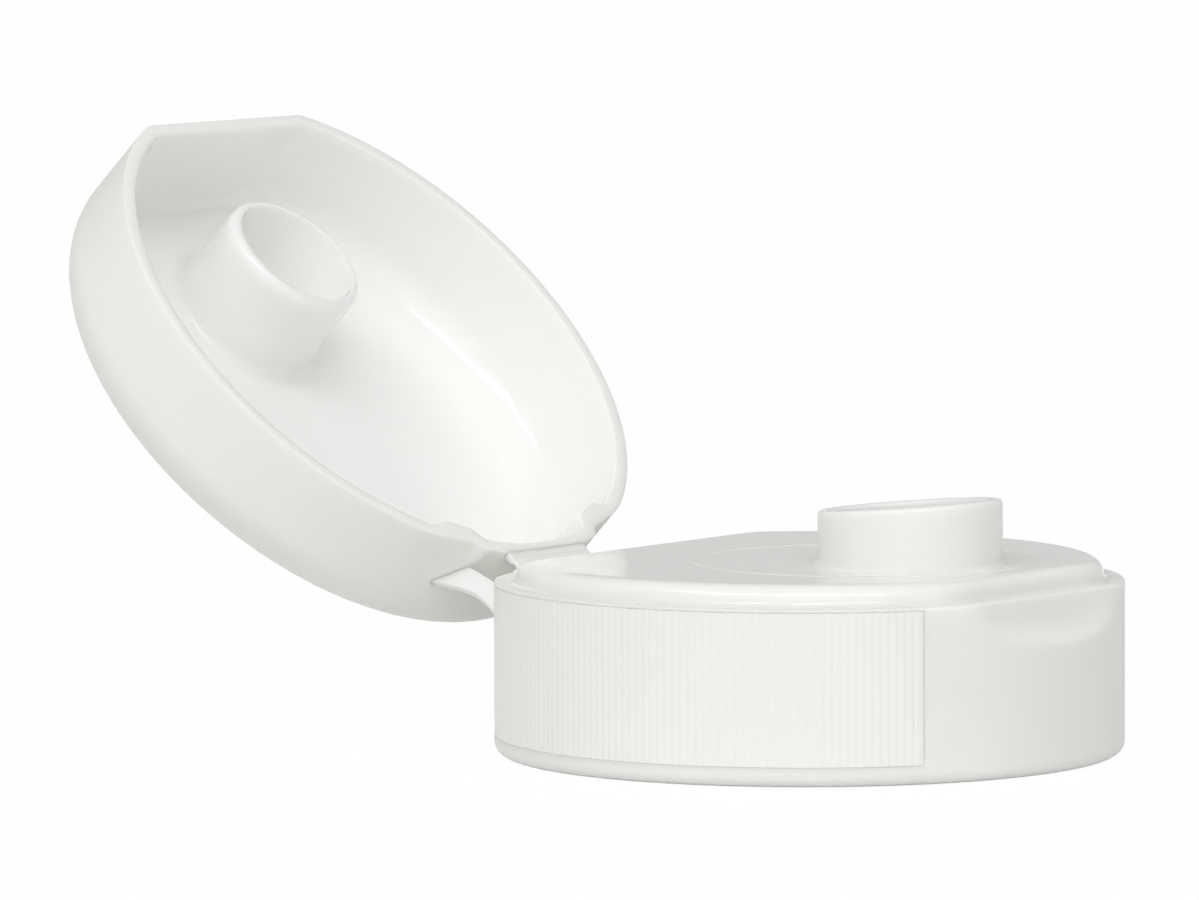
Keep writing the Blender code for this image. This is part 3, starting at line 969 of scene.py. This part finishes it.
@dataclass
class SnapHinge:
    """The centre film and the two side webs that make the lid snap.

    Each place on the film's two lines, in the closed cap, is Y, Z and how many halves of its thickness the
    middle lies above that Z. The two holds are listed places on the skirt and the lid, which the build hands
    on but doesn't use.
    """

    skirt_radius: float
    lid_radius: float
    web_thickness: float = 0.58
    web_crease: float = 0.46
    web_thickening: float = 6.0
    web_waist: float = 0.4
    web_sink: float = 0.12
    web_grid: tuple[int, int] = (25, 13)
    film_half_width: float = 4.15
    film_thickness: float = 0.5
    film_neck: float = 0.26
    film_thickening: float = 2.2
    film_neck_fullness: float = 1.5
    film_grid: tuple[int, int] = (25, 17)
    film_skirt_line: tuple[tuple[float, float, float], ...] = (
        (19.7, 11.28, -1.0),
        (20.0, 11.36, -1.0),
        (20.4, 11.36, -1.0),
        (20.62, 11.44, -0.8),
    )
    film_lid_line: tuple[tuple[float, float, float], ...] = (
        (20.58, 11.53, 0.8),
        (20.35, 11.49, 1.0),
        (19.95, 11.49, 1.0),
        (19.6, 11.55, 1.0),
    )
    film_skirt_hold: tuple[float, float, float] = (0.0, 20.5, 11.2)
    film_lid_hold: tuple[float, float, float] = (0.0, 20.45, 11.75)
    pocket: PanelPocket = field(default_factory=PanelPocket)

    def creases(self, side: Side, sink: float = 0.0) -> tuple[np.ndarray, np.ndarray]:
        """A web's two creases, with the lid open.

        Args:
            side: Which side of the hinge.
            sink: How far the creases lie inside the walls.

        Returns:
            The crease on the skirt and the one on the lid, each with a row for its inner and its outer end.
        """
        pocket = self.pocket
        turn = np.radians([pocket.inner_deg, pocket.outer_deg]) * side.value
        reach = np.array([pocket.inner_reach, pocket.outer_reach])
        skirt, lid = (
            np.stack([radius * np.sin(turn), radius * np.cos(turn), HINGE.z + away], 1)
            for radius, away in ((self.skirt_radius - sink, -reach), (self.lid_radius - sink, reach))
        )
        return skirt, HINGE.opened(lid)

    def web_section(self, along: float) -> float:
        """Thickness of a web, which is thinner at its creases.

        Args:
            along: Share of the way from the skirt to the lid.

        Returns:
            The thickness in millimetres.
        """
        share = min(1.0, min(along, 1 - along) * self.web_thickening)
        return self.web_crease + (self.web_thickness - self.web_crease) * share

    def web(self, side: Side, material: bpy.types.Material) -> bpy.types.Object:
        """One side web, from its crease on the skirt to its crease on the open lid.

        Args:
            side: Which side of the hinge.
            material: Its finish.

        Returns:
            The finished piece.
        """
        base, lid = self.creases(side, self.web_sink)
        rows, columns = self.web_grid
        middle = np.empty((rows, columns, 3))
        for r in range(rows):
            along = r / (rows - 1)
            inner, outer = base * (1 - along) + lid * along
            waist = self.web_waist * 4 * along * (1 - along)
            for c in range(columns):
                share = c / (columns - 1) * (1 - waist)
                middle[r, c] = inner * (1 - share) + outer * share
        return sheet_solid(f"snap_web_{side.word}", middle, self.web_section, material)

    def film_section(self, along: float) -> float:
        """Thickness of the film, which is thinnest at the hinge line.

        Args:
            along: Share of the way from the skirt to the lid.

        Returns:
            The thickness in millimetres.
        """
        share = min(1.0, abs(along - 0.5) * 2 * self.film_thickening) ** self.film_neck_fullness
        return self.film_neck + (self.film_thickness - self.film_neck) * share

    def film(self, material: bpy.types.Material) -> bpy.types.Object:
        """The centre film, a strip that bends along the hinge line between the ledge and the lid's rim.

        Args:
            material: Its finish.

        Returns:
            The finished piece.
        """
        half = self.film_thickness / 2
        on_skirt, on_lid = (
            np.array([(0, y, z + halves * half) for y, z, halves in line])
            for line in (self.film_skirt_line, self.film_lid_line)
        )
        knots = np.array([*on_skirt, (0, HINGE.y, HINGE.z), *HINGE.opened(on_lid)])
        rows, columns = self.film_grid
        shares = np.linspace(0, 1, rows)
        places = np.linspace(0, 1, len(knots))
        line = np.stack([np.interp(shares, places, knots[:, axis]) for axis in range(3)], 1)
        for _ in range(2):
            line[1:-1] = (line[:-2] + 2 * line[1:-1] + line[2:]) / 4
        middle = np.repeat(line[:, None, :], columns, axis=1)
        middle[:, :, 0] = np.linspace(-self.film_half_width, self.film_half_width, columns)
        return sheet_solid("film_hinge", middle, self.film_section, material)


# Repeats that Geometry Nodes make


class NodeRecipe(NodeTree):
    """A Geometry Nodes tree that is built node by node, with named inputs."""

    def __init__(self, name: str, inputs: dict[str, float | int]) -> None:
        """Starts the tree.

        Args:
            name: Name of the tree.
            inputs: The value of each named input. A whole number makes a whole number socket.
        """
        super().__init__(bpy.data.node_groups.new(name, "GeometryNodeTree"))
        sockets = self.tree.interface
        sockets.new_socket("Geometry", in_out="INPUT", socket_type="NodeSocketGeometry")
        sockets.new_socket("Geometry", in_out="OUTPUT", socket_type="NodeSocketGeometry")
        for label, value in inputs.items():
            kind = "NodeSocketInt" if isinstance(value, int) else "NodeSocketFloat"
            sockets.new_socket(label, in_out="INPUT", socket_type=kind)
        self.values = inputs
        self.given = self.node("NodeGroupInput").outputs
        self.result = self.node("NodeGroupOutput")

    def vector(self, *terms: Term) -> bpy.types.NodeSocket:
        """A vector of three sockets or numbers."""
        return self.node("ShaderNodeCombineXYZ", dict(enumerate(terms))).outputs[0]

    def on_circle(self, turn: Term, radius: Term) -> tuple[bpy.types.NodeSocket, bpy.types.NodeSocket]:
        """X and Y of a place on a circle round the cap.

        Args:
            turn: Its angle from the rear, in radians.
            radius: Radius of the circle, in metres.

        Returns:
            The two sockets.
        """
        x, y = (self.math("MULTIPLY", self.math(wave, turn), radius) for wave in ("SINE", "COSINE"))
        return x, y

    def piece(
        self, name: str, geometry: bpy.types.NodeSocket, material: bpy.types.Material
    ) -> bpy.types.Object:
        """Ends the tree, runs it on an empty mesh and keeps the result as a plain mesh.

        Args:
            name: Name of the piece.
            geometry: The socket with the finished geometry.
            material: Its finish.

        Returns:
            The finished piece.
        """
        real = self.node("GeometryNodeRealizeInstances", {0: geometry})
        finish = self.node("GeometryNodeSetMaterial", {"Geometry": real.outputs[0], "Material": material})
        self.feed(self.result, {"Geometry": finish.outputs[0]})
        holder = bpy.data.objects.new(name, bpy.data.meshes.new(name))
        bpy.context.scene.collection.objects.link(holder)
        modifier = holder.modifiers.new(name, "NODES")
        modifier.node_group = self.tree
        for item in self.tree.interface.items_tree:
            if item.item_type == "SOCKET" and item.in_out == "INPUT" and item.name in self.values:
                modifier[item.identifier] = self.values[item.name]
        made_plain(holder)
        holder.data.shade_smooth()
        holder.data.set_sharp_from_angle(angle=math.radians(SHEET_SHARP_DEG))
        return holder


@dataclass
class GripRibs:
    """The fine upright ribs round the skirt, which leave the front and the two hinge pockets smooth."""

    pitch_deg: float = 1.48
    field_deg: float = 146.3
    gap_start_deg: float = 16.2
    gap_end_deg: float = 33.2
    crest_radius: float = 20.495
    half_width: float = 0.37
    height: float = 0.1
    low: float = 1.34
    high: float = 11.1
    sides: int = 24

    def build(self, material: bpy.types.Material) -> bpy.types.Object:
        """Instances one rounded bar for each rib along the skirt.

        Args:
            material: Their finish.

        Returns:
            All ribs as one plain mesh.
        """
        recipe = NodeRecipe(
            "grip_ribs",
            {
                "Count": int(2 * self.field_deg / self.pitch_deg),
                "Pitch": math.radians(self.pitch_deg),
                "Radius": (self.crest_radius - self.height) * MM,
                "Half Width": self.half_width * MM,
                "Height": self.height * MM,
                "Length": (self.high - self.low) * MM,
                "Middle": (self.high + self.low) / 2 * MM,
                "Gap Start": math.radians(self.gap_start_deg),
                "Gap End": math.radians(self.gap_end_deg),
            },
        )
        given = recipe.given
        size = recipe.vector(given["Half Width"], given["Height"], given["Length"])
        bar_inputs = {"Vertices": self.sides, "Radius": 1.0, "Depth": 1.0}
        bar = recipe.node("GeometryNodeMeshCylinder", bar_inputs, fill_type="NGON").outputs["Mesh"]
        rib = recipe.node("GeometryNodeTransform", {"Geometry": bar, "Scale": size}).outputs["Geometry"]

        index = recipe.node("GeometryNodeInputIndex").outputs[0]
        middle = recipe.math("MULTIPLY", recipe.math("SUBTRACT", given["Count"], 1), 0.5)
        turn = recipe.math("MULTIPLY", recipe.math("SUBTRACT", index, middle), given["Pitch"])
        line = recipe.node("GeometryNodeMeshLine", {"Count": given["Count"]}).outputs["Mesh"]
        place = recipe.vector(*recipe.on_circle(turn, given["Radius"]), given["Middle"])
        placed = recipe.node("GeometryNodeSetPosition", {"Geometry": line, "Position": place})

        aside = recipe.math("ABSOLUTE", turn)
        before = recipe.math("LESS_THAN", aside, given["Gap Start"])
        beyond = recipe.math("GREATER_THAN", aside, given["Gap End"])
        spread = recipe.node(
            "GeometryNodeInstanceOnPoints",
            {
                "Points": placed.outputs["Geometry"],
                "Selection": recipe.math("MAXIMUM", before, beyond),
                "Instance": rib,
                "Rotation": recipe.vector(0.0, 0.0, recipe.math("MULTIPLY", turn, -1)),
            },
        )
        return recipe.piece("grip_ribs", spread.outputs["Instances"], material)


@dataclass
class NeckThread:
    """The helical ridge inside the skirt that grips the bottle neck."""

    root_radius: float = 18.95
    pitch: float = 4.23
    turns: float = 1.5
    start: float = 1.8
    depth: float = 1.05
    half_width: float = 0.95
    run_out: float = 9.0
    columns: int = 181
    rows: int = 13
    weld: float = 0.002

    def build(self, material: bpy.types.Material) -> bpy.types.Object:
        """Sweeps a rounded ridge along a helix whose ends run out into the wall.

        Args:
            material: Its finish.

        Returns:
            The ridge as a plain mesh.
        """
        recipe = NodeRecipe(
            "neck_thread",
            {
                "Radius": self.root_radius * MM,
                "Turns": self.turns,
                "Rise": self.turns * self.pitch * MM,
                "Start": self.start * MM,
                "Depth": self.depth * MM,
                "Half Width": self.half_width * MM,
            },
        )
        given = recipe.given
        grid_inputs = {"Size X": 1.0, "Size Y": 1.0, "Vertices X": self.columns, "Vertices Y": self.rows}
        grid = recipe.node("GeometryNodeMeshGrid", grid_inputs).outputs["Mesh"]
        place = recipe.node("GeometryNodeInputPosition").outputs[0]
        split = recipe.node("ShaderNodeSeparateXYZ", {0: place}).outputs
        along = recipe.math("ADD", split["X"], 0.5)
        section = recipe.math("MULTIPLY", recipe.math("ADD", split["Y"], 0.5), math.tau)
        to_end = recipe.math("MINIMUM", along, recipe.math("SUBTRACT", 1.0, along))
        to_end = recipe.math("MINIMUM", 1.0, recipe.math("MULTIPLY", to_end, self.run_out))
        size = recipe.math("SQRT", to_end)
        inwards = recipe.math("MULTIPLY", recipe.math("COSINE", section), given["Depth"])
        upwards = recipe.math("MULTIPLY", recipe.math("SINE", section), given["Half Width"])
        radius = recipe.math("SUBTRACT", given["Radius"], recipe.math("MULTIPLY", inwards, size))
        turn = recipe.math("MULTIPLY", recipe.math("MULTIPLY", along, given["Turns"]), math.tau)
        height = recipe.math("ADD", recipe.math("MULTIPLY", along, given["Rise"]), given["Start"])
        height = recipe.math("ADD", height, recipe.math("MULTIPLY", upwards, size))
        bent_place = recipe.vector(*recipe.on_circle(turn, radius), height)
        bent = recipe.node("GeometryNodeSetPosition", {"Geometry": grid, "Position": bent_place})
        weld_inputs = {"Geometry": bent.outputs["Geometry"], "Distance": self.weld * MM}
        welded = recipe.node("GeometryNodeMergeByDistance", weld_inputs)
        return recipe.piece("neck_thread", welded.outputs["Geometry"], material)


# Studio


@dataclass(frozen=True)
class SkyGlow:
    """A soft patch of the surround, brighter than the rest, or darker where its strength is below 0."""

    name: str
    towards: tuple[float, float, float]
    strength: float
    focus: float


@dataclass(frozen=True)
class Softbox:
    """A rectangular lamp, placed and sized in metres."""

    name: str
    place: tuple[float, float, float]
    size: tuple[float, float]
    watts: float


@dataclass
class Studio:
    """The pale floor, the soft lamps, the surround and the camera at the photograph's angle."""

    azimuth: float = -54.6457
    elevation: float = 6.5365
    distance: float = 665.0741
    focal_px: float = 10212.19
    picture_width: float = 1199.0
    sensor: float = 36.0
    yaw: float = -1.1747
    pitch: float = 1.6956
    roll: float = -0.2315
    clip: tuple[float, float] = (0.05, 50.0)
    floor_half: float = 6000.0
    floor_color: float = 0.86
    floor_white: float = 0.96
    floor_glow: float = 1.01
    lamp_target: tuple[float, float, float] = (0.0, 0.01, 0.015)
    ambient: float = 0.738
    glows: tuple[SkyGlow, ...] = (
        SkyGlow("left_glow", (-1.0, 0.1, 0.1), -0.4, 2.0),
        SkyGlow("front_glow", (-0.2, -0.7, 0.7), -0.07, 4.0),
        SkyGlow("opening_glow", (-0.75, -0.5, 0.45), 1.0, 5.0),
        SkyGlow("right_glow", (0.62, -0.78, 0.1), -0.7, 5.0),
        SkyGlow("behind_glow", (0.72, 0.48, 0.5), -0.4, 24.0),
        SkyGlow("rear_glow", (0.3, 0.6, 0.6), -0.322, 3.0),
        SkyGlow("high_glow", (0.0, 0.0, 1.0), -0.03, 2.0),
    )
    lamps: tuple[Softbox, ...] = (
        Softbox("long_softbox", (-0.568, -0.302, 0.766), (1.1, 0.1), 2.4),
        Softbox("short_softbox", (-0.549, 0.28, 0.788), (0.33, 0.1), 0.5),
    )

    def camera(self) -> bpy.types.Object:
        """Adds the camera.

        Returns:
            The camera object, set as the scene's camera.
        """
        azimuth, elevation, yaw, pitch, roll = (
            math.radians(value) for value in (self.azimuth, self.elevation, self.yaw, self.pitch, self.roll)
        )
        flat = math.cos(elevation)
        back = Vector((math.sin(azimuth) * flat, -math.cos(azimuth) * flat, math.sin(elevation)))
        look = -back
        right = look.cross(Vector((0, 0, 1))).normalized()
        up = right.cross(look)
        level = math.cos(yaw) * look + math.sin(yaw) * right
        aim = (math.cos(pitch) * level + math.sin(pitch) * up).normalized()
        side = aim.cross(Vector((0, 0, 1))).normalized()
        top = side.cross(aim)
        across = math.cos(roll) * side + math.sin(roll) * top
        upright = math.cos(roll) * top - math.sin(roll) * side
        turn = Matrix((across, upright, -aim)).transposed().to_4x4()
        lens = bpy.data.cameras.new("photo_camera")
        lens.sensor_width = self.sensor
        lens.lens = self.focal_px / self.picture_width * self.sensor
        lens.clip_start, lens.clip_end = self.clip
        camera = bpy.data.objects.new("photo_camera", lens)
        camera.matrix_world = Matrix.Translation(back * self.distance * MM) @ turn
        bpy.context.scene.collection.objects.link(camera)
        bpy.context.scene.camera = camera
        return camera

    def floor(self) -> bpy.types.Object:
        """Adds the floor, which looks white to the camera and still takes a soft shadow.

        Returns:
            The floor.
        """
        half = self.floor_half * MM
        data = bpy.data.meshes.new("studio_floor")
        corners = [(-half, -half, 0), (half, -half, 0), (half, half, 0), (-half, half, 0)]
        data.from_pydata(corners, [], [(0, 1, 2, 3)])
        plane = bpy.data.objects.new("studio_floor", data)
        bpy.context.scene.collection.objects.link(plane)
        material = bpy.data.materials.new("white_sweep")
        material.use_nodes = True
        tree = NodeTree(material.node_tree)
        shader = material.node_tree.nodes["Principled BSDF"]
        grey = (self.floor_color, self.floor_color, self.floor_color, 1)
        tree.feed(shader, {"Base Color": grey, "Roughness": 0.9, "Specular IOR Level": 0.1})
        white = tree.node("ShaderNodeEmission", {"Strength": self.floor_glow})
        rays = tree.node("ShaderNodeLightPath").outputs
        seen = rays["Is Camera Ray"]
        for label in ("Is Glossy Ray", "Is Transmission Ray"):
            seen = tree.math("MAXIMUM", seen, rays[label])
        share = tree.math("MULTIPLY", seen, self.floor_white)
        mixed = tree.node("ShaderNodeMixShader", {"Fac": share, 1: shader.outputs[0], 2: white.outputs[0]})
        tree.feed(material.node_tree.nodes["Material Output"], {"Surface": mixed.outputs[0]})
        data.materials.append(material)
        return plane

    def surround(self) -> None:
        """Sets the world to an even grey, made brighter or darker by each of the soft patches in glows."""
        world = bpy.data.worlds.new("studio_surround")
        bpy.context.scene.world = world
        world.use_nodes = True
        tree = NodeTree(world.node_tree)
        way = tree.node("ShaderNodeTexCoord").outputs["Generated"]
        level: Term = self.ambient
        for glow in self.glows:
            inputs = {0: way, 1: Vector(glow.towards).normalized()}
            facing = tree.node("ShaderNodeVectorMath", inputs, operation="DOT_PRODUCT", label=glow.name)
            lobe = tree.math("POWER", tree.math("MAXIMUM", facing.outputs["Value"], 0.0), glow.focus)
            level = tree.math("MULTIPLY_ADD", lobe, glow.strength, level)
        tree.feed(world.node_tree.nodes["Background"], {"Color": level})

    def lamp(self, box: Softbox) -> None:
        """Adds one soft lamp that looks at the cap.

        Args:
            box: The lamp's name, place, size and power.
        """
        data = bpy.data.lights.new(box.name, "AREA")
        data.shape = "RECTANGLE"
        data.size, data.size_y = box.size
        data.energy = box.watts
        lamp = bpy.data.objects.new(box.name, data)
        lamp.location = box.place
        aim = Vector(self.lamp_target) - Vector(box.place)
        lamp.rotation_euler = aim.to_track_quat("-Z", "Y").to_euler()
        bpy.context.scene.collection.objects.link(lamp)

    def build(self) -> None:
        """Adds everything and sets the plain view transform."""
        self.camera()
        self.floor()
        self.surround()
        for box in self.lamps:
            self.lamp(box)
        bpy.context.scene.view_settings.view_transform = "Standard"


# Building


def ride_on(piece: bpy.types.Object, body: str) -> None:
    """Lets a piece move with a CAD body and reports it.

    Args:
        piece: The finished piece.
        body: The CAD body that carries it.
    """
    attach(piece, body)
    LOG.info("%s rides on %s, %d faces", piece.name, body, len(piece.data.polygons))


def bend_between(piece: bpy.types.Object, start: np.ndarray, end: np.ndarray, *nodes: str) -> None:
    """Hides the CAD nodes that a piece stands for, bakes its place into its mesh and reports it.

    Args:
        piece: The finished piece.
        start: Not used.
        end: Not used.
        *nodes: The CAD nodes that it stands for.
    """
    if nodes:
        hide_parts(*nodes)
    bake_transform(piece)
    LOG.info("%s bends between closure and lid, %d faces", piece.name, len(piece.data.polygons))


def main() -> None:
    """Builds the studio, the two mouldings, their ribs and thread, and the hinge."""
    logging.basicConfig(level=logging.INFO, format="%(name)s: %(message)s")
    Studio().build()
    finishes = [skin.material() for skin in (SATIN_SKIN, POLISHED_SKIN, PAINTED_LIGHT_SKIN)]
    satin = finishes[Surface.SATIN.value]
    flexed = FLEXED_SKIN.material()

    closure = Closure()
    moulding = closure.build(finishes)
    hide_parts("closure_base")
    ride_on(moulding, "closure")
    ride_on(GripRibs().build(RIB_SKIN.material()), "closure")
    ride_on(NeckThread().build(satin), "closure")

    lid = Lid()
    cover = lid.build(finishes)
    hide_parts("lid")
    ride_on(cover, "lid")

    hinge = SnapHinge(closure.radius, lid.radius)
    for side in Side:
        web = hinge.web(side, flexed)
        start, end = (crease.mean(0) for crease in hinge.creases(side))
        bend_between(web, start, end, f"hinge_panel_{side.word}")
    film_start = np.array(hinge.film_skirt_hold)
    film_end = HINGE.opened(np.array([hinge.film_lid_hold]))[0]
    bend_between(hinge.film(satin), film_start, film_end)


if __name__ == "__main__":
    main()
